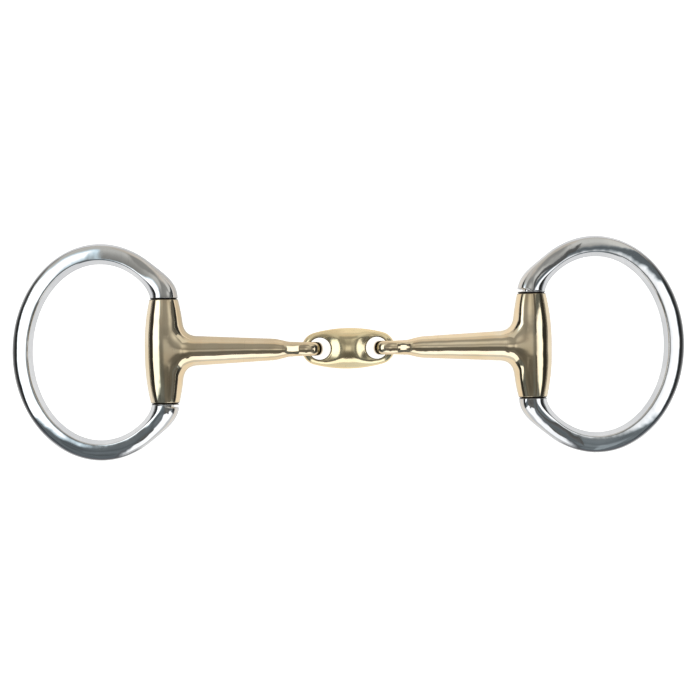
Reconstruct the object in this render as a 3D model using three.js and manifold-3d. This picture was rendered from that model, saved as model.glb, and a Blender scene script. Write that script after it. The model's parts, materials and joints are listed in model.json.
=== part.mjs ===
// Eggbutt snaffle bit with a double-jointed mouthpiece, lying flat on a table.
//
// Two D-shaped steel cheek rings each turn on a floating pin inside the barrel of a mouthpiece arm.
// The arms end in eyes that are linked through the two holes of an oval centre lozenge.
//
// Frame, in millimetres: +X across the horse's mouth, +Y along the hinge pins, +Z up from the table.
// The origin is on the table, under the middle of the lozenge. The right side is the left side
// turned half a turn about +Z.

import * as THREE from "three";
import { mergeVertices } from "three/addons/utils/BufferGeometryUtils.js";
import Module from "manifold-3d";

const wasm = await Module();
wasm.setup();

// ---- driving dimensions ----

const MOUTH_WIDTH = 124; // between the inner flanks of the two barrels

const BARREL_LENGTH = 39.2;
const BARREL_RADIUS = 7.5; // at the middle of its bulge
const BARREL_END_RADIUS = 5.4;
const BARREL_BULGE_POWER = 2.3; // above 2 the bulge is fuller towards the ends
const BARREL_EDGE = 0.45; // chamfer of each end
const BARREL_RECESS_RADIUS = 4.5; // counterbore in each end, round the ring's spigot
const BARREL_RECESS_DEPTH = 0.8;

const PIN_RADIUS = 3;
const PIN_CLEARANCE = 0.3; // in the barrel's bore and in the ring's sockets
const PIN_SOCKET_DEPTH = 4.5;
const PIN_END_GAP = 0.35; // past each end of the pin
const SHOULDER_GAP = 0.7; // between a ring's shoulder and the barrel's end
const SPIGOT_RADIUS = 4.2; // of the round step on each shoulder
const SPIGOT_REACH = 0.4; // how far it enters the barrel's recess

const RING_CENTRE = 24.4; // from the hinge axis out to the middle of the ring's ellipse
const RING_REACH = 29.7; // half axis of the centreline, away from the hinge
const RING_RISE = 37; // half axis of the centreline, along the hinge
const RING_WIDTH = 8.4; // of the bar, in the ring's plane
const RING_THICKNESS = 6.2; // of the bar, across the ring's plane
const RING_SQUARENESS = 2.2; // exponent of the bar's superelliptic section
const RING_LEAN = 1; // how far inwards of its middle the bar is thickest
const RING_BEVEL_WIDTH = 2.2; // of the two bevels along the ring's inner side, in the ring's plane
const RING_BEVEL_EDGE = 0.7; // half thickness of the bar where the bevels meet its inner flat
const NECK_START = 123; // degrees round the ellipse from its far side, where each neck leaves it
const NECK_RADIUS = 5.3; // of the round shoulder that meets the barrel
const NECK_PULL = 4; // reach of the neck curve's two handles
const NECK_TAPER = 15; // length over which the shoulder thins to the bar

const CANNON_ROOT_RADIUS = 5.5; // where the fillet to the barrel ends
const CANNON_END_RADIUS = 3.9; // where the cannon starts to narrow into the eye
const FILLET_START = 7.6; // distance from the hinge axis, as the next two are
const CANNON_ROOT = 14;
const CANNON_END = 45;
const FILLET_RISE = 2.8; // how far the fillet stands proud of the cannon at its start
const FILLET_DECAY = 2.5; // length over which that falls to about a third
const CROWN_RISE = 1.2; // how far the cannon's top and bottom rise to meet the barrel's
const CROWN_LENGTH = 7; // length over which that falls to about a third

const EYE_HOLE_RADIUS = 2.95;
const EYE_BAR = 3.75; // radial thickness of the eye's loop
const EYE_HALF_WIDTH = 2.6; // along Y
const EYE_SQUARENESS = 2.3;
const EYE_SHARE = 0.8; // of the eye's height that the cannon swells by before the eye

const LOZENGE_HALF_LENGTH = 17.6;
const LOZENGE_HALF_WIDTH = 7.7;
const LOZENGE_END_ARC = 6.2; // radius of its outline's two end arcs
const LOZENGE_HALF_THICKNESS = 4.7;
const LOZENGE_LOOP_HALF_THICKNESS = 2.5; // of the loops around the two holes
const LOZENGE_SHOULDER = 11; // distance from the middle over which it thins to the loops
const LOZENGE_BEVEL_SLOPE = 1.1; // of the bevels all round its outline, rise over run
const LOZENGE_EDGE = 0.8; // half height of the upright edge between the bevels
const LINK_HOLE_OFFSET = 10.8; // from the lozenge's middle to the middle of each hole
const LINK_HOLE_RADIUS = 4.15;
const RIM = 1; // rounding of the rims of the lozenge's holes and of the eyes
const CREST_SHARPNESS = 7; // exponent that rounds the crests where bevels meet a face

// ---- mesh fineness ----

const BAR_SIDES = 16; // round the section of a ring
const RING_STEP = 6; // degrees
const NECK_STEPS = 6;
const ARM_SIDES = 20;
const LOZENGE_SIDES = 24;
const LOZENGE_STEPS = 9; // from the middle to each end
const LOZENGE_SWEEP = 86; // degrees of the quarter turn that spaces those steps
const LATHE_SIDES = 24;
const FILLET_STEPS = 5;
const FILLET_SPREAD = 1.4; // above 1 the stations start closer together and spread out
const CANNON_STEPS = 3; // along the cannon, and again along its narrowing
const EYE_SWEEP = [-60, 84]; // degrees round the eye where its stations start and end
const EYE_STEPS = 14;
const EYE_SPREAD = 0.9;
const BARREL_STEPS = 9; // odd, so that the barrel lies on a short straight middle

// ---- dimensions that follow from these ----

const HINGE_X = MOUTH_WIDTH / 2 + BARREL_RADIUS;
const AXIS_HEIGHT = BARREL_RADIUS; // the barrels rest on the table
const SHOULDER = BARREL_LENGTH / 2 + SHOULDER_GAP; // where a ring starts, along the hinge
const BORE_RADIUS = PIN_RADIUS + PIN_CLEARANCE;
const LINK_X = (LINK_HOLE_OFFSET + LINK_HOLE_RADIUS + LOZENGE_HALF_LENGTH) / 2; // middle of an end loop
const EYE_CENTRE = HINGE_X - LINK_X; // distance from the hinge axis
const EYE_RADIUS = EYE_HOLE_RADIUS + EYE_BAR;
const ARM_LENGTH = EYE_CENTRE + EYE_RADIUS;

const { lerp, smoothstep, degToRad } = THREE.MathUtils;

// ---- shape helpers ----

// The largest of some positive numbers, with its crests rounded the more the smaller the exponent.
function roundedMax(exponent, ...values) {
  return values.reduce((sum, value) => sum + Math.abs(value) ** exponent, 0) ** (1 / exponent);
}

// A section as [across, up] pairs, counter-clockwise, with a flat facing each of its four sides.
// reach gives its radius in the direction of a unit vector.
function section(sides, reach) {
  return Array.from({ length: sides }, (_, i) => {
    const angle = ((i + 0.5) * 2 * Math.PI) / sides;
    const radius = reach(Math.cos(angle), Math.sin(angle));
    return [radius * Math.cos(angle), radius * Math.sin(angle)];
  });
}

const superellipse = (halfAcross, halfUp, squareness) => (across, up) =>
  1 / roundedMax(squareness, across / halfAcross, up / halfUp);

// A closed skin over rings of points that each run counter-clockwise about the direction of travel.
function loft(rings) {
  const sides = rings[0].length;
  const last = rings.length - 1;
  const middleOf = (ring) =>
    ring.reduce((sum, p) => sum.add(p), new THREE.Vector3()).divideScalar(sides);
  const points = [...rings.flat(), middleOf(rings[0]), middleOf(rings[last])];
  const [startMiddle, endMiddle] = [points.length - 2, points.length - 1];
  const index = [];
  for (let i = 0; i < sides; i++) {
    const next = (i + 1) % sides;
    for (let k = 0; k < last; k++) {
      const [a, b] = [k * sides + i, k * sides + next];
      const [c, d] = [a + sides, b + sides];
      index.push(a, b, d, a, d, c);
    }
    index.push(startMiddle, next, i);
    index.push(endMiddle, last * sides + i, last * sides + next);
  }
  return new THREE.BufferGeometry().setFromPoints(points).setIndex(index);
}

// A solid of revolution about Y from [radius, y] pairs that run upwards from the axis to the axis.
function lathe(profile) {
  const points = profile.map(([radius, y]) => new THREE.Vector2(radius, y));
  return new THREE.LatheGeometry(points, LATHE_SIDES);
}

// A hole cutter along Y whose mouths flare by RIM where they break the surface at +-halfDepth.
function holeCutter(radius, halfDepth) {
  const straight = halfDepth - RIM;
  const steps = [0.35, 0.7, 1];
  const flare = steps.map((s) => [radius + RIM * (1 - Math.sqrt(1 - s * s)), straight + RIM * s]);
  const past = [radius + RIM, halfDepth + 3];
  const upper = [[radius, straight], ...flare, past];
  const lower = upper.map(([r, y]) => [r, -y]).reverse();
  return lathe([[0, -past[1]], ...lower, ...upper, [0, past[1]]]);
}

// ---- booleans ----

function toSolid(geometry) {
  const bare = geometry.clone();
  bare.deleteAttribute("normal");
  bare.deleteAttribute("uv");
  const merged = mergeVertices(bare, 1e-4);
  return new wasm.Manifold(
    new wasm.Mesh({
      numProp: 3,
      vertProperties: merged.attributes.position.array,
      triVerts: new Uint32Array(merged.index.array),
    }),
  );
}

function toGeometry(solid) {
  const mesh = solid.getMesh();
  return new THREE.BufferGeometry()
    .setAttribute("position", new THREE.BufferAttribute(mesh.vertProperties, 3))
    .setIndex(new THREE.BufferAttribute(mesh.triVerts, 1));
}

// ---- cheek ring, with its hinge axis on Y, its plane in XY and its far side towards -X ----

// The centreline from the lower shoulder round to the upper one, as [out, along] pairs with directions.
function ringCentreline() {
  const ellipse = (degrees) => {
    const angle = degToRad(degrees);
    return {
      at: new THREE.Vector2(
        RING_CENTRE + RING_REACH * Math.cos(angle),
        RING_RISE * Math.sin(angle),
      ),
      direction: new THREE.Vector2(
        -RING_REACH * Math.sin(angle),
        RING_RISE * Math.cos(angle),
      ).normalize(),
    };
  };
  const stations = [];
  for (let degrees = -NECK_START; degrees <= NECK_START; degrees += RING_STEP) {
    stations.push(ellipse(degrees));
  }
  const top = stations.at(-1);
  const neck = new THREE.CubicBezierCurve(
    top.at,
    top.at.clone().addScaledVector(top.direction, NECK_PULL),
    new THREE.Vector2(0, SHOULDER + NECK_PULL),
    new THREE.Vector2(0, SHOULDER),
  );
  const upper = [];
  for (let i = 1; i <= NECK_STEPS; i++) {
    const t = i / NECK_STEPS;
    upper.push({ at: neck.getPoint(t), direction: neck.getTangent(t) });
  }
  const lower = upper
    .map(({ at, direction }) => ({
      at: new THREE.Vector2(at.x, -at.y),
      direction: new THREE.Vector2(-direction.x, direction.y),
    }))
    .reverse();
  return [...lower, ...stations, ...upper];
}

// How much of the shoulder's section is left at a distance along the centreline from it.
const neckShare = (distance) => (1 - smoothstep(distance, 0, NECK_TAPER)) ** 1.5;

// The bar's radius in a direction from its thickest part: an oval with two bevels along its inner side.
function barReach(outward, up) {
  const halfWidth = RING_WIDTH / 2;
  const oval = superellipse(halfWidth + RING_LEAN, RING_THICKNESS / 2, RING_SQUARENESS);
  const slope = (RING_THICKNESS / 2 - RING_BEVEL_EDGE) / RING_BEVEL_WIDTH;
  const bevelReach = RING_BEVEL_EDGE + slope * (halfWidth - RING_LEAN);
  const bevel = (Math.abs(up) - slope * outward) / bevelReach;
  return 1 / roundedMax(CREST_SHARPNESS, 1 / oval(outward, up), Math.max(bevel, 0));
}

function ringBarGeometry() {
  const stations = ringCentreline();
  const travelled = [0];
  for (let i = 1; i < stations.length; i++) {
    travelled.push(travelled[i - 1] + stations[i].at.distanceTo(stations[i - 1].at));
  }
  const total = travelled.at(-1);
  const rings = stations.map(({ at, direction }, i) => {
    const share = neckShare(Math.min(travelled[i], total - travelled[i]));
    const bar = section(BAR_SIDES, (outward, up) =>
      lerp(barReach(outward, up), NECK_RADIUS, share),
    );
    const lean = lerp(RING_LEAN, 0, share);
    // In the ring's plane, the bar's outward side is at a right angle to its direction.
    const outward = new THREE.Vector2(direction.y, -direction.x);
    return bar.map(
      ([across, up]) =>
        new THREE.Vector3(
          -(at.x + (across - lean) * outward.x),
          at.y + (across - lean) * outward.y,
          up,
        ),
    );
  });
  return loft(rings);
}

// Two coaxial cylinders on the hinge axis, one at each end, between two distances from its middle.
function endCylinders(radius, from, to) {
  return [-1, 1].map((side) =>
    toSolid(
      new THREE.CylinderGeometry(radius, radius, to - from, LATHE_SIDES).translate(
        0,
        (side * (from + to)) / 2,
        0,
      ),
    ),
  );
}

function cheekRingGeometry() {
  const spigotEnd = BARREL_LENGTH / 2 - SPIGOT_REACH;
  const [lowerSpigot, upperSpigot] = endCylinders(SPIGOT_RADIUS, spigotEnd, SHOULDER + 1);
  const socketEnd = SHOULDER + PIN_SOCKET_DEPTH;
  const [lowerSocket, upperSocket] = endCylinders(BORE_RADIUS, spigotEnd - 1, socketEnd);
  return toGeometry(
    toSolid(ringBarGeometry())
      .add(lowerSpigot)
      .add(upperSpigot)
      .subtract(lowerSocket)
      .subtract(upperSocket),
  );
}

// The angle by which a ring sinks about its hinge until its far side lies on the table.
function droopOf(geometry) {
  const position = geometry.attributes.position;
  let droop = Math.PI / 2;
  for (let i = 0; i < position.count; i++) {
    const [out, up] = [-position.getX(i), position.getZ(i)];
    const reach = Math.hypot(out, up);
    if (out > RING_CENTRE) {
      droop = Math.min(droop, Math.asin(AXIS_HEIGHT / reach) - Math.atan2(-up, out));
    }
  }
  return droop;
}

// ---- hinge pin, on Y ----

function hingePinGeometry() {
  const half = SHOULDER + PIN_SOCKET_DEPTH - PIN_END_GAP;
  const chamfer = 0.5;
  return lathe([
    [0, -half],
    [PIN_RADIUS - chamfer, -half],
    [PIN_RADIUS, -half + chamfer],
    [PIN_RADIUS, half - chamfer],
    [PIN_RADIUS - chamfer, half],
    [0, half],
  ]);
}

// ---- mouthpiece arm, with its hinge axis on Y and its eye towards +X ----

function barrelGeometry() {
  const half = BARREL_LENGTH / 2;
  const radiusAt = (y) =>
    lerp(BARREL_RADIUS, BARREL_END_RADIUS, (Math.abs(y) / half) ** BARREL_BULGE_POWER);
  const profile = [[0, -half]];
  for (let i = 0; i <= BARREL_STEPS; i++) {
    const y = lerp(-half + BARREL_EDGE, half - BARREL_EDGE, i / BARREL_STEPS);
    if (i === 0) profile.push([radiusAt(half) - BARREL_EDGE, -half]);
    profile.push([radiusAt(y), y]);
    if (i === BARREL_STEPS) profile.push([radiusAt(half) - BARREL_EDGE, half]);
  }
  profile.push([0, half]);
  return lathe(profile);
}

// Half sizes of the arm's section, and its squareness, at a distance from the hinge axis.
function armSection(distance) {
  const taper = (distance - CANNON_ROOT) / (CANNON_END - CANNON_ROOT);
  const cannon = lerp(CANNON_ROOT_RADIUS, CANNON_END_RADIUS, Math.min(taper, 1));
  const flare = FILLET_RISE * Math.exp(-Math.max(distance - FILLET_START, 0) / FILLET_DECAY);
  const narrowing = smoothstep(distance, CANNON_END, EYE_CENTRE);
  const fromEye = distance - EYE_CENTRE;
  const eye = Math.sqrt(Math.max(EYE_RADIUS ** 2 - fromEye ** 2, 0));
  // The cannon swells towards the eye, so that the two meet in a fillet.
  const swollen = fromEye < 0 ? Math.hypot(cannon, EYE_SHARE * eye * narrowing ** 2) : 0;
  const crown = CROWN_RISE * Math.exp(-((distance / CROWN_LENGTH) ** 2));
  // The eye's outer side is rounded over the outer half of its bar.
  const tip = Math.max(1 - (ARM_LENGTH - distance) / (EYE_BAR / 2), 0);
  return {
    across: lerp(cannon + flare, EYE_HALF_WIDTH, narrowing) * Math.sqrt(1 - tip ** 2),
    up: Math.max(swollen, eye) + crown,
    squareness: lerp(2, EYE_SQUARENESS, narrowing),
  };
}

// Distances from the hinge axis at which the section is drawn, closer where it changes faster.
function armStations() {
  const stretch = (from, to, steps, spread) =>
    Array.from({ length: steps }, (_, i) => lerp(from, to, (i / steps) ** spread));
  const roundEye = stretch(EYE_SWEEP[0], EYE_SWEEP[1], EYE_STEPS, EYE_SPREAD);
  return [
    0,
    ...stretch(FILLET_START, CANNON_ROOT, FILLET_STEPS, FILLET_SPREAD),
    ...stretch(CANNON_ROOT, CANNON_END, CANNON_STEPS, 1),
    ...stretch(CANNON_END, EYE_CENTRE - EYE_RADIUS, CANNON_STEPS, 1),
    ...roundEye.map((degrees) => EYE_CENTRE + EYE_RADIUS * Math.sin(degToRad(degrees))),
  ];
}

function cannonGeometry() {
  return loft(
    armStations().map((distance) => {
      const { across, up, squareness } = armSection(distance);
      return section(ARM_SIDES, superellipse(across, up, squareness)).map(
        ([y, z]) => new THREE.Vector3(distance, y, z),
      );
    }),
  );
}

function armGeometry() {
  const bore = new THREE.CylinderGeometry(
    BORE_RADIUS,
    BORE_RADIUS,
    BARREL_LENGTH + 2,
    LATHE_SIDES,
  );
  const eyeHole = holeCutter(EYE_HOLE_RADIUS, EYE_HALF_WIDTH).translate(EYE_CENTRE, 0, 0);
  const half = BARREL_LENGTH / 2;
  const [lowerRecess, upperRecess] = endCylinders(
    BARREL_RECESS_RADIUS,
    half - BARREL_RECESS_DEPTH,
    half + 1,
  );
  return toGeometry(
    toSolid(barrelGeometry())
      .add(toSolid(cannonGeometry()))
      .subtract(toSolid(bore))
      .subtract(lowerRecess)
      .subtract(upperRecess)
      .subtract(toSolid(eyeHole)),
  );
}

// ---- centre lozenge, with its plane in XY ----

// The outline's half width at a distance from the middle: a flat arc that runs into an end arc.
function lozengeHalfWidth(distance) {
  const endCentre = LOZENGE_HALF_LENGTH - LOZENGE_END_ARC;
  const narrowing = LOZENGE_HALF_WIDTH - LOZENGE_END_ARC;
  // The side arc touches the end arc from outside, which fixes its radius.
  const sideArc = LOZENGE_END_ARC + (endCentre ** 2 + narrowing ** 2) / (2 * narrowing);
  const sideCentre = sideArc - LOZENGE_HALF_WIDTH;
  const touch = (endCentre * sideArc) / (sideArc - LOZENGE_END_ARC);
  return distance < touch
    ? Math.sqrt(sideArc ** 2 - distance ** 2) - sideCentre
    : Math.sqrt(LOZENGE_END_ARC ** 2 - (distance - endCentre) ** 2);
}

// Half the thickness on the centreline: a pillow that thins to the loops and is bevelled at its ends.
function lozengeHalfThickness(distance) {
  const pillow = lerp(
    LOZENGE_HALF_THICKNESS,
    LOZENGE_LOOP_HALF_THICKNESS,
    smoothstep(distance, 0, LOZENGE_SHOULDER),
  );
  const bevel = LOZENGE_EDGE + LOZENGE_BEVEL_SLOPE * (LOZENGE_HALF_LENGTH - distance);
  return 1 / roundedMax(CREST_SHARPNESS, 1 / pillow, 1 / bevel);
}

function lozengeSection(distance) {
  const halfWidth = lozengeHalfWidth(distance);
  const halfThickness = lozengeHalfThickness(distance);
  const points = section(LOZENGE_SIDES, (across, up) => {
    const bevel =
      (LOZENGE_BEVEL_SLOPE * Math.abs(across) + Math.abs(up)) /
      (LOZENGE_BEVEL_SLOPE * halfWidth + LOZENGE_EDGE);
    return 1 / roundedMax(CREST_SHARPNESS, across / halfWidth, up / halfThickness, bevel);
  });
  // Rounding the crests has narrowed the section, so it is stretched back to its width.
  const stretch = halfWidth / Math.max(...points.map(([across]) => across));
  return points.map(([across, up]) => [across * stretch, up]);
}

function lozengeGeometry() {
  const rings = [];
  for (let i = -LOZENGE_STEPS; i <= LOZENGE_STEPS; i++) {
    const x = LOZENGE_HALF_LENGTH * Math.sin(degToRad((LOZENGE_SWEEP * i) / LOZENGE_STEPS));
    rings.push(lozengeSection(Math.abs(x)).map(([y, z]) => new THREE.Vector3(x, y, z)));
  }
  let solid = toSolid(loft(rings));
  for (const side of [-1, 1]) {
    const hole = holeCutter(LINK_HOLE_RADIUS, LOZENGE_LOOP_HALF_THICKNESS)
      .rotateX(Math.PI / 2)
      .translate(side * LINK_HOLE_OFFSET, 0, 0);
    solid = solid.subtract(toSolid(hole));
  }
  return toGeometry(solid);
}

// ---- materials ----

const steel = new THREE.MeshStandardMaterial({ color: 0xc9ced2, roughness: 0.12, metalness: 1 });
const alloy = new THREE.MeshStandardMaterial({ color: 0xc9ac78, roughness: 0.25, metalness: 1 });

function piece(name, geometry, material) {
  const mesh = new THREE.Mesh(geometry, material);
  mesh.name = name;
  return mesh;
}

// ---- assembly ----

const ringShape = cheekRingGeometry();
const pinShape = hingePinGeometry();
const armShape = armGeometry();

// One side of the bit, built as the left one.
function cheekSide(name) {
  const side = new THREE.Group();
  const hinge = new THREE.Group();
  hinge.position.set(-HINGE_X, 0, AXIS_HEIGHT);
  const ring = piece(`${name}_cheek_ring`, ringShape, steel);
  ring.rotation.y = -droopOf(ringShape);
  hinge.add(
    ring,
    piece(`${name}_hinge_pin`, pinShape, steel),
    piece(`${name}_mouthpiece_arm`, armShape, alloy),
  );
  side.add(hinge);
  return side;
}

const lozenge = piece("centre_lozenge", lozengeGeometry(), alloy);
lozenge.position.z = AXIS_HEIGHT;

const rightSide = cheekSide("right");
rightSide.rotation.z = Math.PI;

const bit = new THREE.Group();
bit.add(cheekSide("left"), lozenge, rightSide);

export default bit;
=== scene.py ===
"""Looks of an eggbutt snaffle bit: polished steel cheek rings on floating pins, and a pale copper
alloy mouthpiece of two arms and a centre lozenge, on a white table in a white room. The polished
metal reflects a stage of lit sheets that only reflections see.

Shapes are worked out in millimetres, in the frame of their own joint, and placed in metres.
"""

import json
import math

import bpy
import numpy as np
from mathutils import Matrix, Vector


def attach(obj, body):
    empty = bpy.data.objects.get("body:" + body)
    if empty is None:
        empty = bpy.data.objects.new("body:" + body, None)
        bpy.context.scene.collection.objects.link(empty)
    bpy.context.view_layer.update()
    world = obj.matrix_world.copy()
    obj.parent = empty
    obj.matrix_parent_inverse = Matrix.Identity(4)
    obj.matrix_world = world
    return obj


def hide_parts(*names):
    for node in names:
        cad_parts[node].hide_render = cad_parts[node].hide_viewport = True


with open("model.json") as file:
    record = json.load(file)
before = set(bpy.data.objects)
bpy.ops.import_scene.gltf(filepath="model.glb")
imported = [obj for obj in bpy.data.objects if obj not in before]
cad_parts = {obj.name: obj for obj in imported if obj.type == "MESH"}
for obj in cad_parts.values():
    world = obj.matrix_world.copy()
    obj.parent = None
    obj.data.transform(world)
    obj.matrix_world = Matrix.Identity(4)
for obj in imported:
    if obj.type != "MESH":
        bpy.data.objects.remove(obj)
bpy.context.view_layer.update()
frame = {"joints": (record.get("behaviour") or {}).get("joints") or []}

JOINTS = {joint["name"]: joint for joint in frame["joints"]}
HINGE = Vector(JOINTS["left_ring_swing"]["pos_m"]) * 1000
MM = 0.001
HINGE_X = -HINGE.x * MM

# ---- dimensions, in millimetres, as in the frame's own solids ----

BARREL_HALF = 19.6
BARREL_RADIUS = 7.5
BARREL_END_RADIUS = 5.4
BARREL_POWER = 2.3
BARREL_EDGE = 0.3
BORE_RADIUS = 3.3
BORE_EDGE = 0.25
RECESS_RADIUS = 4.5
RECESS_DEPTH = 0.8

PIN_RADIUS = 3.0
PIN_HALF = 24.45
PIN_CHAMFER = 0.5
PIN_EDGE = 0.08

RING_CENTRE = 24.4
RING_REACH = 29.7
RING_RISE = 37.0
RING_OUTER_EDGE = 4.05
RING_INNER_EDGE = 3.8
RING_HALF_THICKNESS = 3.1
RING_SQUARENESS = 2.2
RING_LEAN = 1.0
RING_BEVEL_SLOPE = 1.65
RING_BEVEL_EDGE = 0.15
CREST_SHARPNESS = 18.0
NECK_START = 123.0
NECK_RADIUS = 5.3
NECK_PULL = 4.0
NECK_TAPER = 15.0
SHOULDER = 20.0
SHOULDER_EDGE = 0.3
COLLAR_RADIUS = 4.95
COLLAR_END = 19.7
SPIGOT_RADIUS = 4.2
SPIGOT_END = 19.2
SPIGOT_EDGE = 0.15
SOCKET_DEPTH = 4.8
SOCKET_EDGE = 0.2

CANNON_START = 4.5
CANNON_SOFT_START = 2.5
CANNON_ROOT = (14.0, 5.5)
CANNON_END = (45.0, 3.9)
CANNON_STOP = 51.7
CANNON_CAP = 1.0
CANNON_NARROWING = (41.0, 50.5)
CLIMB_SLOPE = 0.46
CLIMB_TOP = (50.42, 6.06)
CLIMB_EASE = 0.7
BARREL_BLEND = 5.0
EYE_BLEND = 0.8
CANNON_END_HALF_WIDTH = 2.5
CANNON_SQUARING = (44.0, 51.0)
CANNON_END_SQUARENESS = 3.4
EYE_CENTRE = 53.225
EYE_MIDDLE = 4.825
EYE_HOLE_RADIUS = 2.95
EYE_HALF_BAR = 1.875
EYE_HALF_WIDTH = 2.6
EYE_SQUARENESS = 2.0

LOZENGE_HALF_LENGTH = 17.6
LOZENGE_HALF_WIDTH = 7.7
LOZENGE_END_ARC = 6.2
LOZENGE_HALF_THICKNESS = 4.7
LOZENGE_LOOP = 2.5
LOZENGE_SHOULDER_SLOPE = 0.52
LOZENGE_SHOULDER_START = 2.1
LOZENGE_SHOULDER_EASE = 0.8
LOZENGE_ARC = 0.9
LOZENGE_CROWN = 0.03
LOZENGE_SLOPE = 1.06
LOZENGE_EDGE = 0.8
LOZENGE_CREST = 0.9
LINK_OFFSET = 10.8
LINK_RADIUS = 4.15
RIM = 0.75

# The box of each field, and the size of the grid that its skin is found on.
ARM_BOX = ((-7.6, -19.7, -7.6), (60.1, 19.7, 7.6))
ARM_STEP = 0.32
LOZENGE_BOX = ((-17.7, -7.8, -4.8), (17.7, 7.8, 4.8))
LOZENGE_STEP = 0.2


# ---- fields: distance-like functions of points, negative inside ----


def smoothstep(value, low, high):
    share = np.clip((value - low) / (high - low), 0, 1)
    return share * share * (3 - 2 * share)


def rounded_and(a, b, radius):
    """The overlap of two solids, with the crest where they meet rounded."""
    beyond = np.hypot(np.maximum(a + radius, 0), np.maximum(b + radius, 0))
    return np.minimum(np.maximum(a, b), -radius) + beyond


def blended_or(a, b, reach):
    """Two solids that run smoothly into each other within a reach of where they meet."""
    near = np.maximum(reach - np.abs(a - b), 0)
    return np.minimum(a, b) - near * near / (4 * reach)


def oval(a, b, half_a, half_b, squareness):
    """The field of a superelliptic bar over two coordinates."""
    share_a, share_b = np.abs(a / half_a), np.abs(b / half_b)
    norm = (share_a**squareness + share_b**squareness) ** (1 / squareness) + 1e-9
    slope_a = (share_a / norm) ** (squareness - 1) / half_a
    slope_b = (share_b / norm) ** (squareness - 1) / half_b
    return (norm - 1) / (np.hypot(slope_a, slope_b) + 1e-9)


def arm_field(points):
    """A mouthpiece arm: barrel along Y round the hinge, and cannon and eye towards +X."""
    x, y, z = np.moveaxis(points, -1, 0)
    share = np.abs(y) / BARREL_HALF
    drop = BARREL_END_RADIUS - BARREL_RADIUS
    slope = drop * BARREL_POWER * share ** (BARREL_POWER - 1) / BARREL_HALF
    about_hinge = np.hypot(x, z)
    barrel = (about_hinge - BARREL_RADIUS - drop * share**BARREL_POWER) / np.hypot(1, slope)

    taper = (x - CANNON_ROOT[0]) / (CANNON_END[0] - CANNON_ROOT[0])
    radius = CANNON_ROOT[1] + (CANNON_END[1] - CANNON_ROOT[1]) * np.clip(taper, -0.4, 1.3)
    across = radius + (CANNON_END_HALF_WIDTH - radius) * smoothstep(x, *CANNON_NARROWING)
    climb = CLIMB_TOP[1] + CLIMB_SLOPE * (x - CLIMB_TOP[0])
    squareness = 2 + (CANNON_END_SQUARENESS - 2) * smoothstep(x, *CANNON_SQUARING)
    cannon = oval(y, z, across, -blended_or(-radius, -climb, CLIMB_EASE), squareness)
    cannon = rounded_and(cannon, x - CANNON_STOP, CANNON_CAP)
    cannon = rounded_and(cannon, CANNON_START - x, CANNON_SOFT_START)
    body = blended_or(barrel, cannon, BARREL_BLEND)

    about_eye = np.hypot(x - EYE_CENTRE, z)
    eye = oval(about_eye - EYE_MIDDLE, y, EYE_HALF_BAR, EYE_HALF_WIDTH, EYE_SQUARENESS)
    body = blended_or(body, eye, EYE_BLEND)
    body = rounded_and(body, EYE_HOLE_RADIUS - about_eye, RIM)
    body = rounded_and(body, np.abs(y) - BARREL_HALF, BARREL_EDGE)
    body = rounded_and(body, BORE_RADIUS - about_hinge, BORE_EDGE)
    outside_recess = np.minimum(
        RECESS_RADIUS - about_hinge, np.abs(y) - (BARREL_HALF - RECESS_DEPTH)
    )
    return rounded_and(body, outside_recess, BORE_EDGE)


def lozenge_field(points):
    """The centre lozenge: a pillow with bevelled edges and two holes along Z."""
    x, y, z = np.abs(np.moveaxis(points, -1, 0))
    end = LOZENGE_HALF_LENGTH - LOZENGE_END_ARC
    rise = LOZENGE_HALF_WIDTH - LOZENGE_END_ARC
    side_arc = LOZENGE_END_ARC + (end**2 + rise**2) / (2 * rise)
    side_centre = side_arc - LOZENGE_HALF_WIDTH
    outline = np.where(
        x * side_centre > (y + side_centre) * end,
        np.hypot(x - end, y) - LOZENGE_END_ARC,
        np.hypot(x, y + side_centre) - side_arc,
    )
    from_hole = np.hypot(np.maximum(LINK_OFFSET - x, 0), LOZENGE_ARC * y)
    line = LOZENGE_SHOULDER_SLOPE * (LINK_OFFSET - from_hole - LOZENGE_SHOULDER_START)
    depth = LOZENGE_HALF_THICKNESS - LOZENGE_LOOP
    drop = blended_or(-blended_or(-line, 0, LOZENGE_SHOULDER_EASE), depth, 0.3)
    height = LOZENGE_HALF_THICKNESS - drop
    crown = LOZENGE_CROWN * (1 - 0.8 * drop / depth)
    falling = smoothstep(line, -LOZENGE_SHOULDER_EASE, LOZENGE_SHOULDER_EASE)
    falling = falling * (1 - smoothstep(line, depth - 0.3, depth + 0.3))
    slope = np.hypot(LOZENGE_SHOULDER_SLOPE * falling, 2 * crown * y)
    pillow = (z - height + crown * y**2) / np.hypot(1, slope)
    bevel = (z - LOZENGE_EDGE + LOZENGE_SLOPE * outline) / np.hypot(1, LOZENGE_SLOPE)
    body = rounded_and(pillow, bevel, LOZENGE_CREST)
    body = rounded_and(body, outline, 0.5)
    return rounded_and(body, LINK_RADIUS - np.hypot(x - LINK_OFFSET, y), RIM)


# ---- skins ----


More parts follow.
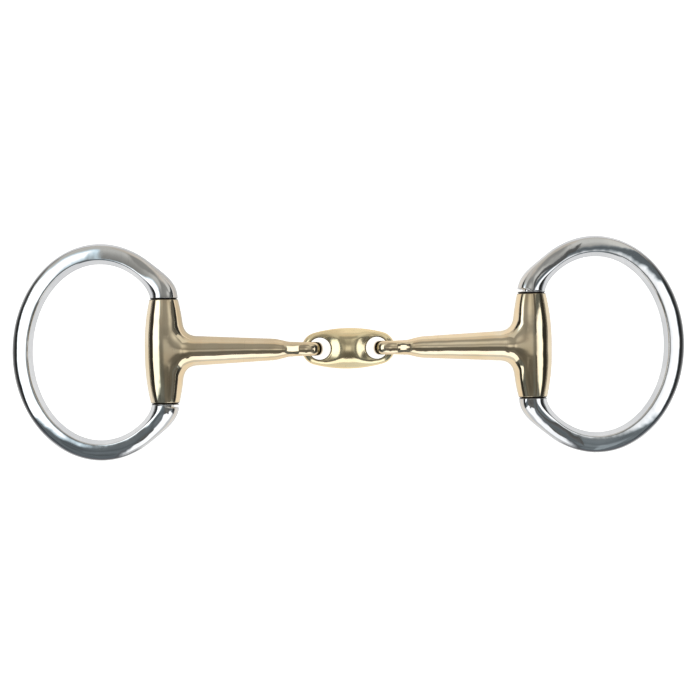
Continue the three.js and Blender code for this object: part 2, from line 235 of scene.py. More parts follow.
def surface_net(field, low, high, step):
    """Points near a field's zero level and the quads that join them."""
    axes = [np.arange(a - 1.5 * step, b + 2.5 * step, step) for a, b in zip(low, high)]
    grid = np.stack(np.meshgrid(*axes, indexing="ij"), -1)
    values = field(grid)
    inside = values < 0
    cells = tuple(n - 1 for n in values.shape)
    count = np.zeros(math.prod(cells))
    total = np.zeros((3, count.size))
    quads = []
    for axis in range(3):
        start = np.argwhere(np.diff(inside, axis=axis))
        end = start + np.eye(3, dtype=int)[axis]
        a, b = values[tuple(start.T)], values[tuple(end.T)]
        share = (a / (a - b))[:, None]
        crossing = grid[tuple(start.T)] * (1 - share) + grid[tuple(end.T)] * share
        u, v = np.eye(3, dtype=int)[[(axis + 1) % 3, (axis + 2) % 3]]
        around = [start, start - u, start - u - v, start - v]
        quad = np.stack([np.ravel_multi_index(tuple(c.T), cells) for c in around], 1)
        for corner in quad.T:
            count += np.bincount(corner, minlength=count.size)
            for i in range(3):
                total[i] += np.bincount(corner, crossing[:, i], count.size)
        quads.append(np.where((a < 0)[:, None], quad, quad[:, ::-1]))
    used = np.flatnonzero(count)
    number = np.zeros(count.size, int)
    number[used] = np.arange(used.size)
    return (total[:, used] / count[used]).T, number[np.concatenate(quads)]


def gradient(field, points, step=1e-3):
    steps = np.eye(3) * step
    return np.stack([field(points + s) - field(points - s) for s in steps], -1) / (2 * step)


def settle(field, points, quads, rounds=8):
    """Spreads points evenly over the zero level, and gives their exact normals."""
    one, other = quads.ravel(), np.roll(quads, -1, axis=1).ravel()
    degree = np.bincount(one, minlength=len(points))
    for turn in range(rounds):
        slope = gradient(field, points)
        size = np.linalg.norm(slope, axis=1, keepdims=True)
        if turn < rounds - 3:
            mean = np.stack(
                [np.bincount(one, points[other, i], len(points)) for i in range(3)], -1
            )
            shift = mean / degree[:, None] - points
            normal = slope / size
            points = points + 0.6 * (shift - (shift * normal).sum(1, keepdims=True) * normal)
            slope = gradient(field, points)
            size = np.linalg.norm(slope, axis=1, keepdims=True)
        points = points - field(points)[:, None] * slope / size**2
    slope = gradient(field, points)
    return points, slope / np.linalg.norm(slope, axis=1, keepdims=True)


def skin(field, low, high, step):
    points, quads = surface_net(field, low, high, step)
    points, normals = settle(field, points, quads)
    return points, quads.tolist(), normals


def loops_skin(loops):
    """A closed skin over loops of points that run counter-clockwise about the way they go."""
    loops = np.asarray(loops)
    rows, sides = loops.shape[:2]
    along = np.gradient(loops, axis=0)
    around = np.roll(loops, -1, axis=1) - np.roll(loops, 1, axis=1)
    normals = np.cross(around, along).reshape(-1, 3)
    index = np.arange(rows * sides).reshape(rows, sides)
    turned = np.roll(index, -1, axis=1)
    quads = np.stack([index[:-1], turned[:-1], turned[1:], index[1:]], -1).reshape(-1, 4)
    size = np.linalg.norm(normals, axis=1, keepdims=True)
    normals = normals / np.maximum(size, 1e-9)
    ends = [np.mean(loops[0], axis=0), np.mean(loops[-1], axis=0)]
    first, last = rows * sides, rows * sides + 1
    caps = [[first, turned[0, i], index[0, i]] for i in range(sides)]
    caps += [[last, index[-1, i], turned[-1, i]] for i in range(sides)]
    away = [loops[0].mean(0) - loops[1].mean(0), loops[-1].mean(0) - loops[-2].mean(0)]
    away = [a / max(np.linalg.norm(a), 1e-9) for a in away]
    points = np.concatenate([loops.reshape(-1, 3), ends])
    return points, quads.tolist() + caps, np.concatenate([normals, away])


# ---- cheek ring ----


def bar_reach(outward, up):
    """The radius from the bar's thickest part: an oval, with two bevels and a flat inside."""
    oval_term = (
        np.abs(outward / (RING_OUTER_EDGE + RING_LEAN)) ** RING_SQUARENESS
        + np.abs(up / RING_HALF_THICKNESS) ** RING_SQUARENESS
    ) ** (1 / RING_SQUARENESS)
    flat = RING_INNER_EDGE - RING_LEAN
    bevel = (np.abs(up) - RING_BEVEL_SLOPE * outward) / (RING_BEVEL_EDGE + RING_BEVEL_SLOPE * flat)
    terms = np.stack([oval_term, np.maximum(bevel, 0), np.maximum(-outward / flat, 0)])
    return (terms**CREST_SHARPNESS).sum(0) ** (-1 / CREST_SHARPNESS)


def ring_loops(sides=128, steps=170, neck_steps=26):
    """Loops from the lower socket, round the ring, to the upper socket; hinge axis on Y."""
    turn = np.radians(np.linspace(-NECK_START, NECK_START, steps))
    arc = np.stack([RING_CENTRE + RING_REACH * np.cos(turn), RING_RISE * np.sin(turn)], 1)
    way = np.array([-RING_REACH * math.sin(turn[-1]), RING_RISE * math.cos(turn[-1])])
    way /= np.linalg.norm(way)
    handles = [arc[-1], arc[-1] + NECK_PULL * way, (0, SHOULDER + NECK_PULL)]
    handles = np.array(handles + [(0, SHOULDER + SHOULDER_EDGE)])
    t = np.linspace(0, 1, neck_steps + 1)[1:, None]
    weights = np.hstack([(1 - t) ** 3, 3 * t * (1 - t) ** 2, 3 * t * t * (1 - t), t**3])
    neck = weights @ handles
    line = np.concatenate([neck[::-1] * (1, -1), arc, neck])
    way = np.gradient(line, axis=0)
    way[[0, -1]] = (0, 1), (0, -1)
    way /= np.linalg.norm(way, axis=1, keepdims=True)
    run = np.concatenate([[0], np.cumsum(np.linalg.norm(np.diff(line, axis=0), axis=1))])
    share = (1 - smoothstep(np.minimum(run, run[-1] - run), 0, NECK_TAPER)) ** 1.5

    angle = (np.arange(sides) + 0.5) * 2 * math.pi / sides
    across, up = np.cos(angle), np.sin(angle)
    reach = bar_reach(across, up)
    radius = reach + (NECK_RADIUS - reach) * share[:, None]
    outward = np.stack([way[:, 1], -way[:, 0]], 1)
    lean = RING_LEAN * (1 - share[:, None])
    flat = line[:, None] + (radius * across - lean)[..., None] * outward[:, None]
    bar = np.stack([-flat[..., 0], flat[..., 1], radius * up], -1)

    def round_loop(y, size):
        level = np.full(sides, y)
        return np.stack([-size * across * np.sign(-y), level, size * up], -1)

    # The profile of an end, from the neck over the shoulder, collar and spigot into the socket.
    edge = SHOULDER_EDGE
    end = [
        (SHOULDER + edge * (1 - math.sin(a)), NECK_RADIUS - edge * (1 - math.cos(a)))
        for a in np.radians(np.linspace(15, 90, 6))
    ]
    socket_end = SHOULDER + SOCKET_DEPTH
    end += [(SHOULDER, COLLAR_RADIUS + 0.03), (SHOULDER - 0.03, COLLAR_RADIUS)]
    end += [(COLLAR_END + 0.05, COLLAR_RADIUS), (COLLAR_END, COLLAR_RADIUS - 0.05)]
    end += [(COLLAR_END, SPIGOT_RADIUS + 0.05), (COLLAR_END - 0.05, SPIGOT_RADIUS)]
    end += [(SPIGOT_END + SPIGOT_EDGE, SPIGOT_RADIUS), (SPIGOT_END + 0.04, SPIGOT_RADIUS - 0.04)]
    end += [(SPIGOT_END, SPIGOT_RADIUS - SPIGOT_EDGE), (SPIGOT_END, BORE_RADIUS + SOCKET_EDGE)]
    end += [(SPIGOT_END + 0.06, BORE_RADIUS + 0.06), (SPIGOT_END + SOCKET_EDGE, BORE_RADIUS)]
    end += [(socket_end - SOCKET_EDGE, BORE_RADIUS), (socket_end, BORE_RADIUS - SOCKET_EDGE)]
    upper = [round_loop(y, size) for y, size in end]
    lower = [round_loop(-y, size) for y, size in end[::-1]]
    return lower + list(bar) + upper


def droop_of(points):
    """How far a ring sinks about its hinge until its far side lies on the table."""
    far = points[-points[:, 0] > RING_CENTRE]
    out, up = -far[:, 0], far[:, 2]
    return np.min(np.arcsin(HINGE.z / np.hypot(out, up)) - np.arctan2(-up, out))


def cheek_ring():
    points, faces, normals = loops_skin(ring_loops())
    droop = droop_of(points)
    turn = np.array(Matrix.Rotation(-droop, 3, "Y"))
    return points @ turn.T, faces, normals @ turn.T


# ---- hinge pin ----


def hinge_pin(sides=64):
    half, chamfer, edge = PIN_HALF, PIN_CHAMFER, PIN_EDGE
    profile = [
        (PIN_RADIUS - chamfer - edge, half),
        (PIN_RADIUS - chamfer + edge * 0.7, half - edge * 0.7),
        (PIN_RADIUS - edge * 0.7, half - chamfer + edge * 0.7),
        (PIN_RADIUS, half - chamfer - edge),
    ]
    rows = [(r, -y) for r, y in profile]
    rows += [(PIN_RADIUS, y) for y in np.linspace(-20, 20, 21)]
    rows += profile[::-1]
    angle = np.arange(sides) * 2 * math.pi / sides
    loops = [
        np.stack([r * np.sin(angle), np.full(sides, y), r * np.cos(angle)], -1) for r, y in rows
    ]
    return loops_skin(loops)


# ---- node helpers ----


class Nodes:
    """A short way to write a node tree."""

    def __init__(self, tree):
        self.tree = tree
        tree.nodes.clear()

    def add(self, kind, inputs=None, **settings):
        node = self.tree.nodes.new(kind)
        for name, value in settings.items():
            setattr(node, name, value)
        for name, value in (inputs or {}).items():
            socket = node.inputs[name]
            if isinstance(value, bpy.types.NodeSocket):
                self.tree.links.new(value, socket)
            else:
                socket.default_value = value
        return node

    def math(self, operation, a, b=0.0, clamp=False):
        node = self.add("ShaderNodeMath", {0: a, 1: b}, operation=operation, use_clamp=clamp)
        return node.outputs[0]

    def spread(self, value, low, high, to_low, to_high, smooth=False):
        inputs = {
            "Value": value,
            "From Min": low,
            "From Max": high,
            "To Min": to_low,
            "To Max": to_high,
        }
        kind = "SMOOTHSTEP" if smooth else "LINEAR"
        return self.add("ShaderNodeMapRange", inputs, interpolation_type=kind).outputs["Result"]

    def noise(self, vector, scale, detail=3.0, roughness=0.55, distortion=0.0):
        inputs = {
            "Vector": vector,
            "Scale": scale,
            "Detail": detail,
            "Roughness": roughness,
            "Distortion": distortion,
        }
        return self.add("ShaderNodeTexNoise", inputs).outputs["Fac"]

    def placed(self, vector, turn, stretch):
        inputs = {"Vector": vector, "Rotation": turn, "Scale": stretch}
        return self.add("ShaderNodeMapping", inputs).outputs["Vector"]

    def blend(self, share, a, b):
        node = self.add("ShaderNodeMix", data_type="RGBA")
        for socket, value in ((0, share), (6, a), (7, b)):
            if isinstance(value, bpy.types.NodeSocket):
                self.tree.links.new(value, node.inputs[socket])
            else:
                node.inputs[socket].default_value = value if socket == 0 else (*value, 1)
        return node.outputs[2]


def new_material(name):
    material = bpy.data.materials.new(name)
    material.use_nodes = True
    return material, Nodes(material.node_tree)


def scratches(nodes, where, turn, lines, cut):
    """Fine straight hairlines in one direction, fading in and out along their length."""
    stretched = nodes.placed(where, turn, (lines, lines * 0.02, lines * 0.02))
    hair = nodes.noise(stretched, 1.0, 2.0, 0.5)
    patch = nodes.noise(where, 140.0, 2.0, 0.5)
    line = nodes.spread(hair, cut, cut + 0.05, 0.0, 1.0, smooth=True)
    shown = nodes.spread(patch, 0.5, 0.62, 0.0, 1.0, smooth=True)
    return nodes.math("MULTIPLY", line, shown)


def gap_dirt_and_shade(low, high, rising):
    """Dark dirt and painted shade in the gap at a barrel's end, which sets in or ends between two
    distances along Y.
    """

    def share(nodes, x, y):
        from_hinge = nodes.math("ABSOLUTE", nodes.math("SUBTRACT", x, HINGE_X))
        near = nodes.spread(from_hinge, 0.008, 0.010, 1.0, 0.0)
        along = nodes.spread(y, low, high, 0.0 if rising else 1.0, 1.0 if rising else 0.0)
        return nodes.math("MULTIPLY", along, near)

    return share


def hole_dirt_and_shade(nodes, x, y):
    """Dark dirt and painted shade on the walls and rims of the lozenge's holes."""
    aside = nodes.math("SUBTRACT", x, LINK_OFFSET * MM)
    squares = nodes.math("ADD", nodes.math("MULTIPLY", aside, aside), nodes.math("MULTIPLY", y, y))
    wall, rim = (LINK_RADIUS + 0.1) * MM, (LINK_RADIUS + 0.5) * MM
    return nodes.spread(nodes.math("SQRT", squares), wall, rim, 1.0, 0.0)


# Near-black colour of dirt and painted shade in the joint gaps and the lozenge's hole walls.
DIRT_AND_SHADE_COLOUR = (0.03, 0.026, 0.022)


def metal(name, light, dark, warm, roughness, wave, hair, dirt_and_shade):
    """Polished metal: drifting tint, smudges, hairline scratches, pits, a slight wave, and dirt
    with painted shade in gaps and holes.
    """
    material, nodes = new_material(name)
    where = nodes.add("ShaderNodeTexCoord").outputs["Object"]

    drift = nodes.noise(where, 55.0, 2.0, 0.5)
    cloud = nodes.noise(where, 260.0, 4.0, 0.6)
    tint = nodes.blend(nodes.spread(drift, 0.38, 0.62, 0.0, 1.0, smooth=True), dark, light)
    tint = nodes.blend(nodes.spread(cloud, 0.5, 0.75, 0.0, 0.5), tint, warm)

    first = scratches(nodes, where, (0.3, 0.5, 0.8), 5200.0, 0.66)
    second = scratches(nodes, where, (1.1, 0.2, -0.9), 4300.0, 0.67)
    hairs = nodes.math("MAXIMUM", first, second)
    cell = nodes.add("ShaderNodeTexVoronoi", {"Vector": where, "Scale": 900.0})
    pick = nodes.noise(where, 420.0, 1.0, 0.5)
    pit = nodes.spread(cell.outputs["Distance"], 0.08, 0.16, 1.0, 0.0, smooth=True)
    pit = nodes.math("MULTIPLY", pit, nodes.spread(pick, 0.62, 0.68, 0.0, 1.0))
    marks = nodes.math("MAXIMUM", nodes.math("MULTIPLY", hairs, hair), pit)
    tint = nodes.blend(nodes.math("MULTIPLY", marks, 0.35), tint, tuple(c * 0.45 for c in dark))

    axes = nodes.add("ShaderNodeSeparateXYZ", {"Vector": where}).outputs
    # Dirt with painted shade darkens and roughens the gap at a barrel's end and the walls of the
    # lozenge's holes.
    painted_shade_and_dirt = dirt_and_shade(nodes, nodes.math("ABSOLUTE", axes["X"]), nodes.math("ABSOLUTE", axes["Y"]))
    tint = nodes.blend(painted_shade_and_dirt, tint, DIRT_AND_SHADE_COLOUR)

    smudge = nodes.spread(cloud, 0.4, 0.7, roughness[0], roughness[1])
    rough = nodes.math("ADD", smudge, nodes.math("MULTIPLY", marks, 0.12))
    rough = nodes.math("ADD", rough, nodes.math("MULTIPLY", painted_shade_and_dirt, 0.4), clamp=True)

    swell = nodes.noise(where, 95.0, 1.0, 0.4)
    ripple = nodes.noise(where, 310.0, 1.0, 0.4)
    bump = nodes.add(
        "ShaderNodeBump", {"Height": swell, "Distance": wave * 0.001, "Strength": 1.0}
    )
    bump = nodes.add(
        "ShaderNodeBump",
        {
            "Height": ripple,
            "Distance": wave * 0.00012,
            "Strength": 1.0,
            "Normal": bump.outputs["Normal"],
        },
    )
    bump = nodes.add(
        "ShaderNodeBump",
        {
            "Height": nodes.math("SUBTRACT", 1.0, marks),
            "Distance": 0.000004,
            "Strength": 0.6,
            "Normal": bump.outputs["Normal"],
        },
    )
    shader = nodes.add(
        "ShaderNodeBsdfPrincipled",
        {
            "Base Color": tint,
            "Metallic": 1.0,
            "Roughness": rough,
            "Normal": bump.outputs["Normal"],
        },
    )
    nodes.add("ShaderNodeOutputMaterial", {"Surface": shader.outputs["BSDF"]})
    return material


def turned_steel(name):
    """Bare steel off a lathe: fine rings round Y."""
    material, nodes = new_material(name)
    where = nodes.add("ShaderNodeTexCoord").outputs["Object"]
    rings = nodes.noise(nodes.placed(where, (0, 0, 0), (30, 5200, 30)), 1.0, 3.0, 0.6)
    cloud = nodes.noise(where, 300.0, 3.0, 0.6)
    cloudy = nodes.spread(cloud, 0.35, 0.65, 0.0, 1.0)
    tint = nodes.blend(cloudy, (0.42, 0.42, 0.42), (0.56, 0.57, 0.58))
    tint = nodes.blend(nodes.spread(rings, 0.55, 0.75, 0.0, 0.6), tint, (0.3, 0.29, 0.28))
    bump = nodes.add("ShaderNodeBump", {"Height": rings, "Distance": 0.000012, "Strength": 0.7})
    shader = nodes.add(
        "ShaderNodeBsdfPrincipled",
        {
            "Base Color": tint,
            "Metallic": 1.0,
            "Roughness": nodes.spread(rings, 0.3, 0.7, 0.22, 0.4),
            "Normal": bump.outputs["Normal"],
        },
    )
    nodes.add("ShaderNodeOutputMaterial", {"Surface": shader.outputs["BSDF"]})
    return material


# ---- building the pieces ----


def mesh_object(name, points, faces, material):
    mesh = bpy.data.meshes.new(name)
    mesh.from_pydata(points, [], faces)
    mesh.materials.append(material)
    made = bpy.data.objects.new(name, mesh)
    bpy.context.scene.collection.objects.link(made)
    return made


def piece(name, shape, place, body, node, material):
    """A shape in its joint's frame, put in its place, that stands for one solid."""
    points, faces, normals = shape
    turn = np.array(place.to_3x3())
    points = (points @ turn.T + np.array(place.translation)) * MM
    made = mesh_object(name, points.tolist(), faces, material)
    made.data.polygons.foreach_set("use_smooth", np.ones(len(made.data.polygons), bool))
    made.data.normals_split_custom_set_from_vertices((normals @ turn.T).tolist())
    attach(made, body)
    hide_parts(node)
    return made


STEEL = metal(
    "ring_steel",
    light=(0.71, 0.722, 0.735),
    dark=(0.64, 0.655, 0.675),
    warm=(0.6, 0.61, 0.625),
    roughness=(0.05, 0.11),
    wave=0.4,
    hair=0.5,
    # painted shade and dirt in the gap at the barrel's end
    dirt_and_shade=gap_dirt_and_shade(0.02, 0.0203, rising=False),
)
ALLOY = metal(
    "mouthpiece_alloy",
    light=(0.84, 0.735, 0.55),
    dark=(0.79, 0.67, 0.47),
    warm=(0.81, 0.64, 0.46),
    roughness=(0.045, 0.1),
    wave=0.35,
    hair=0.6,
    # painted shade and dirt in the gap at the barrel's end
    dirt_and_shade=gap_dirt_and_shade(0.0192, 0.0195, rising=True),
)
LOZENGE_ALLOY = metal(
    "lozenge_alloy",
    light=(0.87, 0.78, 0.52),
    dark=(0.83, 0.71, 0.45),
    warm=(0.83, 0.67, 0.43),
    roughness=(0.13, 0.19),
    wave=0.25,
    hair=0.6,
    # painted shade and dirt on the walls and rims of the lozenge's holes
    dirt_and_shade=hole_dirt_and_shade,
)
PIN_STEEL = turned_steel("pin_steel")

ring_shape = cheek_ring()
pin_shape = hinge_pin()
arm_shape = skin(arm_field, *ARM_BOX, ARM_STEP)
lozenge_shape = skin(lozenge_field, *LOZENGE_BOX, LOZENGE_STEP)

left = Matrix.Translation(HINGE)
for side, place in (("left", left), ("right", Matrix.Rotation(math.pi, 4, "Z") @ left)):
    cheek, arm, arm_node = f"{side}_cheek", f"{side}_arm", f"{side}_mouthpiece_arm"
    piece(f"{side}_ring", ring_shape, place, cheek, f"{side}_cheek_ring", STEEL)
    piece(f"{side}_pin", pin_shape, place, cheek, f"{side}_hinge_pin", PIN_STEEL)
    piece(arm, arm_shape, place, arm, arm_node, ALLOY)
piece(
    "lozenge",
    lozenge_shape,
    Matrix.Translation((0, 0, HINGE.z)),
    "centre",
    "centre_lozenge",
    LOZENGE_ALLOY,
)

# ---- table and light, in metres ----

TABLE_HALF = 3
TABLE_LEVEL = -0.0004
LIT_TABLE_LEVEL = -0.0002
ROOM_RADIUS = 2.8
ROOM_DIP = -5
ROOM_LEVELS = 8
ROOM_SIDES = 32
CEILING = 0.137
CEILING_HALF = 0.45
PANEL_Y = -0.11
PANEL_ENDS = (-0.09, 0.085)
PANEL_TOP = 0.132
SHUTTER_X = 0.1
SHUTTER_ENDS = {"front_shutter": (-0.011, -0.1), "back_shutter": (0.011, 0.1)}
SHUTTER_HEIGHTS = (0.07, 0.136)


def glow(name, colour, strength):
    material, nodes = new_material(name)
    shine = nodes.add("ShaderNodeEmission", {"Color": (*colour, 1), "Strength": strength})
    nodes.add("ShaderNodeOutputMaterial", {"Surface": shine.outputs[0]})
    return material, nodes, shine


def stage_mesh(name, points, faces, material, seen_by):
    made = mesh_object(name, points, faces, material)
    for ray in ("camera", "diffuse", "glossy", "transmission", "shadow"):
        setattr(made, f"visible_{ray}", ray in seen_by)


def level_sheet(half, z):
    return [(-half, -half, z), (half, -half, z), (half, half, z), (-half, half, z)]


def upright_sheet(start, end, low, high):
    """A sheet over the line from start to end, each given as (x, y)."""
    return [(*start, low), (*end, low), (*end, high), (*start, high)]


# What the camera sees: a white table in an even white room.
floor_material, floor_nodes = new_material("table")
paper = floor_nodes.noise(floor_nodes.add("ShaderNodeTexCoord").outputs["Object"], 8.0, 2.0)
matt = floor_nodes.add(
    "ShaderNodeBsdfPrincipled",
    {
        "Base Color": floor_nodes.blend(paper, (0.86, 0.865, 0.86), (0.88, 0.885, 0.88)),
        "Roughness": 0.9,
        "Specular IOR Level": 0.0,
        "Emission Color": (0.99, 1.0, 0.99, 1),
        "Emission Strength": 0.72,
    },
)
floor_nodes.add("ShaderNodeOutputMaterial", {"Surface": matt.outputs[0]})
table_points = level_sheet(TABLE_HALF, TABLE_LEVEL)
table_rays = ("camera", "diffuse", "shadow")
stage_mesh("table", table_points, [(0, 1, 2, 3)], floor_material, table_rays)

sun = bpy.data.lights.new("sky_light", "SUN")
sun.energy = 1.9
sun.angle = math.radians(100)
sun_object = bpy.data.objects.new("sky_light", sun)
sun_object.visible_glossy = False
bpy.context.scene.collection.objects.link(sun_object)

room_material, _, _ = glow("room", (0.97, 0.98, 0.98), 0.93)
room_points, room_faces = [], []
for level in range(ROOM_LEVELS + 1):
    lift = math.radians(ROOM_DIP + (90 - ROOM_DIP) * level / ROOM_LEVELS)
    reach, height = ROOM_RADIUS * math.cos(lift), ROOM_RADIUS * math.sin(lift)
    for k in range(ROOM_SIDES):
        a = 2 * math.pi * k / ROOM_SIDES
        room_points.append((reach * math.cos(a), reach * math.sin(a), height))
for level in range(ROOM_LEVELS):
    for k in range(ROOM_SIDES):
        a, b = level * ROOM_SIDES + k, level * ROOM_SIDES + (k + 1) % ROOM_SIDES
        room_faces.append((a, a + ROOM_SIDES, b + ROOM_SIDES, b))
stage_mesh("room", room_points, room_faces, room_material, ("camera",))

# What polished metal reflects: a lit table, a patterned ceiling low over it, a panel in front and
# two shutters on the right. Each pattern gives a sheet's colour and its brightness by place.


def lit_surface(name, points, pattern):
    """A sheet that only reflections see."""
    material, nodes, shine = glow(name, (1, 1, 1), 1)
    where = nodes.add("ShaderNodeTexCoord").outputs["Object"]
    axes = nodes.add("ShaderNodeSeparateXYZ", {"Vector": where}).outputs
    colour, strength = pattern(nodes, where, axes["X"], axes["Y"], axes["Z"])
    nodes.tree.links.new(colour, shine.inputs["Color"])
    nodes.tree.links.new(strength, shine.inputs["Strength"])
    stage_mesh(name, points, [(0, 1, 2, 3)], material, ("glossy",))


def product(nodes, first, *others):
    for other in others:
        first = nodes.math("MULTIPLY", first, other)
    return first


def soft(nodes, value, low, high, rising=True):
    """0 to 1 as value goes from low to high, or 1 to 0."""
    start, end = (0.0, 1.0) if rising else (1.0, 0.0)
    return nodes.spread(value, low, high, start, end, smooth=True)


def slanted(nodes, x, y, slope, offset):
    """How far a point is above the line y = slope x + offset."""
    level = nodes.math("MULTIPLY", x, slope)
    return nodes.math("SUBTRACT", nodes.math("SUBTRACT", y, level), offset)


def ceiling_pattern(nodes, where, x, y, z):
    aside = nodes.math("ABSOLUTE", x)
    front = nodes.spread(aside, 0.05, 0.1, 0.14, 0.2, smooth=True)
    blotch = nodes.spread(nodes.noise(where, 14.0, 2.0), 0.3, 0.7, 0.7, 1.35)
    front = nodes.math("MULTIPLY", front, blotch)
    strip = product(
        nodes,
        soft(nodes, x, 0.12, 0.14),
        soft(nodes, x, 0.17, 0.2, False),
        soft(nodes, y, -0.14, -0.1, False),
    )
    front = nodes.math("ADD", front, nodes.math("MULTIPLY", strip, 0.22))
    strength = nodes.spread(soft(nodes, y, -0.03, 0.06), 0, 1, front, 0.36)
    nearer = nodes.math("MULTIPLY", soft(nodes, aside, 0.05, 0.09), 0.145)
    back = soft(nodes, nodes.math("ADD", y, nearer), 0.17, 0.3)
    strength = nodes.math("ADD", strength, nodes.math("MULTIPLY", back, 0.4))
    for centre, reach, gain in (((0.0, -0.004), 0.036, 0.42), ((0.036, 0.066), 0.062, 0.38)):
        inputs = {0: where, 1: (*centre, CEILING)}
        away = nodes.add("ShaderNodeVectorMath", inputs, operation="DISTANCE").outputs["Value"]
        patch = product(nodes, soft(nodes, away, 0.0, reach, False), soft(nodes, y, -0.045, -0.015))
        strength = nodes.math("ADD", strength, nodes.math("MULTIPLY", patch, gain))
    off_line = nodes.math("ABSOLUTE", y)
    band = product(
        nodes, soft(nodes, off_line, 0.006, 0.024, False), soft(nodes, aside, 0.06, 0.1, False)
    )
    strength = nodes.math("ADD", strength, nodes.math("MULTIPLY", band, 0.3))
    strength = nodes.math("MULTIPLY", strength, nodes.spread(x, -0.06, 0.06, 0.9, 1.05))
    gap = product(
        nodes, soft(nodes, slanted(nodes, y, x, 0.9, 0.0), 0.05, 0.085), soft(nodes, y, 0.0, 0.03)
    )
    strength = nodes.spread(gap, 0, 1, strength, 0.17)
    edge = nodes.math("MULTIPLY", soft(nodes, aside, 0.32, 0.36), soft(nodes, y, 0.1, 0.2, False))
    strength = nodes.spread(edge, 0, 1, strength, 0.035)

    left = product(
        nodes,
        soft(nodes, x, -0.15, -0.118, False),
        soft(nodes, x, -0.36, -0.32),
        soft(nodes, y, 0.1, 0.21, False),
        soft(nodes, slanted(nodes, x, y, 0.4, 0.008), -0.014, 0.014),
    )
    right = product(
        nodes,
        soft(nodes, x, 0.112, 0.14),
        soft(nodes, x, 0.27, 0.32, False),
        soft(nodes, slanted(nodes, x, y, 0.4, -0.017), -0.014, 0.014, False),
        soft(nodes, slanted(nodes, x, y, -0.65, 0.05), -0.016, 0.016),
    )
    strength = nodes.spread(left, 0, 1, strength, 1.8)
    strength = nodes.spread(right, 0, 1, strength, nodes.spread(x, 0.12, 0.18, 1.0, 1.7))
    cool = product(nodes, soft(nodes, y, -0.07, 0.03, False), soft(nodes, aside, 0.06, 0.09))
    warm = product(nodes, soft(nodes, y, 0.15, 0.33), soft(nodes, aside, 0.07, 0.1, False))
    cool = nodes.math("MAXIMUM", cool, gap)
    colour = nodes.blend(cool, (1.0, 0.975, 0.9), (0.84, 0.95, 1.0))
    colour = nodes.blend(warm, colour, (1.0, 0.88, 0.74))
    halo = nodes.math("MULTIPLY", left, nodes.math("SUBTRACT", 1.0, left))
    colour = nodes.blend(nodes.math("MULTIPLY", halo, 4.0, clamp=True), colour, (0.78, 0.93, 1.0))
    white = nodes.math("MAXIMUM", soft(nodes, left, 0.5, 1.0), right)
    return nodes.blend(white, colour, (1.0, 1.0, 1.0)), strength


def table_pattern(nodes, where, x, y, z):
    aside = nodes.math("ABSOLUTE", x)
    further = nodes.math("MULTIPLY", soft(nodes, aside, 0.05, 0.075, False), 0.06)
    front = soft(nodes, nodes.math("ADD", y, further), -0.062, -0.042)
    lit = product(nodes, soft(nodes, aside, 0.118, 0.145, False), front)
    strength = nodes.spread(lit, 0, 1, 0.18, 1.0)
    inner = nodes.math(
        "MULTIPLY", soft(nodes, aside, 0.072, 0.082, False), soft(nodes, y, -0.004, 0.004)
    )
    inner_left = nodes.math("MULTIPLY", inner, soft(nodes, x, -0.03, 0.0, False))
    dimmer = nodes.spread(inner_left, 0, 1, 1.0, 0.72)
    near = nodes.add("ShaderNodeAmbientOcclusion", {"Distance": 0.012}, samples=6)
    shade = nodes.spread(near.outputs["AO"], 0.0, 1.0, 0.6, 1.0)
    middle = soft(nodes, aside, 0.052, 0.062, False)
    colour = nodes.blend(middle, (1.0, 0.99, 0.98), (1.0, 0.92, 0.82))
    return colour, product(nodes, strength, dimmer, shade)


def panel_pattern(nodes, where, x, y, z):
    inside = product(nodes, soft(nodes, x, -0.085, -0.07), soft(nodes, x, 0.06, 0.08, False))
    strength = nodes.spread(z, 0.03, 0.042, 0.75, 1.45, smooth=True)
    aside = nodes.math("ABSOLUTE", x)
    notch = nodes.math("MULTIPLY", soft(nodes, aside, 0.008, 0.024, False), 0.03)
    top = soft(nodes, nodes.math("ADD", z, notch), 0.122, 0.132)
    strength = nodes.spread(top, 0, 1, strength, 0.14)
    colour = nodes.blend(inside, (0.9, 0.95, 1.0), (1.0, 1.0, 1.0))
    return colour, nodes.spread(inside, 0, 1, 0.16, strength)


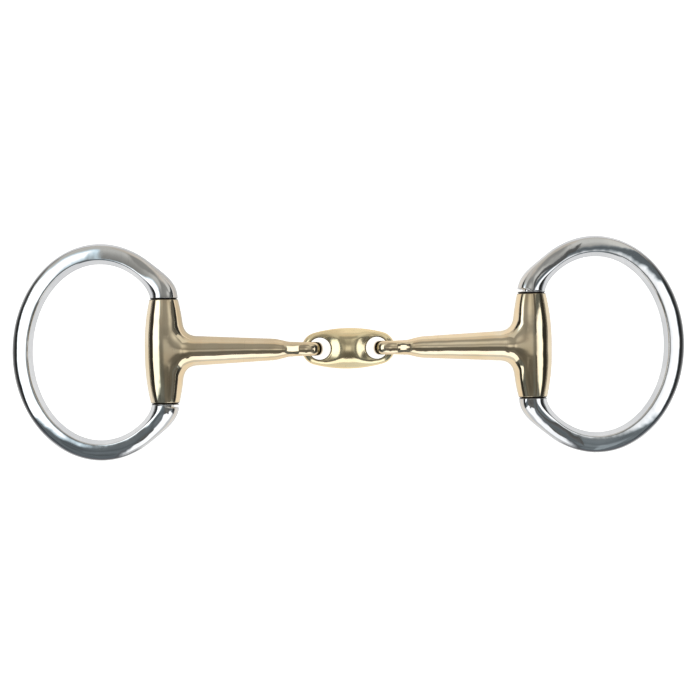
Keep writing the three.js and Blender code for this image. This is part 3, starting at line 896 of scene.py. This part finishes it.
def shutter_pattern(nodes, where, x, y, z):
    rising = soft(nodes, z, 0.06, 0.135)
    colour = nodes.blend(rising, (1.0, 0.97, 0.9), (1.0, 1.0, 1.0))
    return colour, nodes.spread(rising, 0, 1, 0.11, 0.17)


lit_surface("lit_table", level_sheet(TABLE_HALF, LIT_TABLE_LEVEL), table_pattern)
lit_surface("lit_ceiling", level_sheet(CEILING_HALF, CEILING), ceiling_pattern)
panel_start, panel_end = [(end, PANEL_Y) for end in PANEL_ENDS]
lit_surface("lit_panel", upright_sheet(panel_start, panel_end, 0.0, PANEL_TOP), panel_pattern)
for name, (near, far) in SHUTTER_ENDS.items():
    shutter = upright_sheet((SHUTTER_X, near), (SHUTTER_X, far), *SHUTTER_HEIGHTS)
    lit_surface(name, shutter, shutter_pattern)

world = bpy.data.worlds.new("room")
bpy.context.scene.world = world
world.use_nodes = True
sky = Nodes(world.node_tree)
way = sky.add("ShaderNodeTexCoord").outputs["Generated"]
along = sky.add("ShaderNodeSeparateXYZ", {"Vector": way}).outputs["Y"]
behind = sky.spread(along, 0.45, 0.85, 0.0, 1.0, smooth=True)
ahead = sky.spread(along, -0.75, -0.3, 1.0, 0.0, smooth=True)
sky_colour = sky.blend(ahead, (0.035, 0.036, 0.035), (0.15, 0.17, 0.19))
sky_colour = sky.blend(behind, sky_colour, (0.74, 0.69, 0.62))
background = sky.add("ShaderNodeBackground", {"Color": sky_colour, "Strength": 1.0})
sky.add("ShaderNodeOutputWorld", {"Surface": background.outputs[0]})

# ---- camera, straight above ----

CAMERA_PLACE = (0.00063, -0.00068, 1.2)
CAMERA_TURN = -0.95
CAMERA_LENS = 162.2

camera_data = bpy.data.cameras.new("camera")
camera_data.sensor_width = 36
camera_data.lens = CAMERA_LENS
camera_data.clip_start, camera_data.clip_end = 0.01, 20
camera = bpy.data.objects.new("camera", camera_data)
camera.location = CAMERA_PLACE
camera.rotation_euler = (0, 0, math.radians(CAMERA_TURN))
bpy.context.scene.collection.objects.link(camera)
bpy.context.scene.camera = camera
bpy.context.scene.view_settings.view_transform = "Standard"
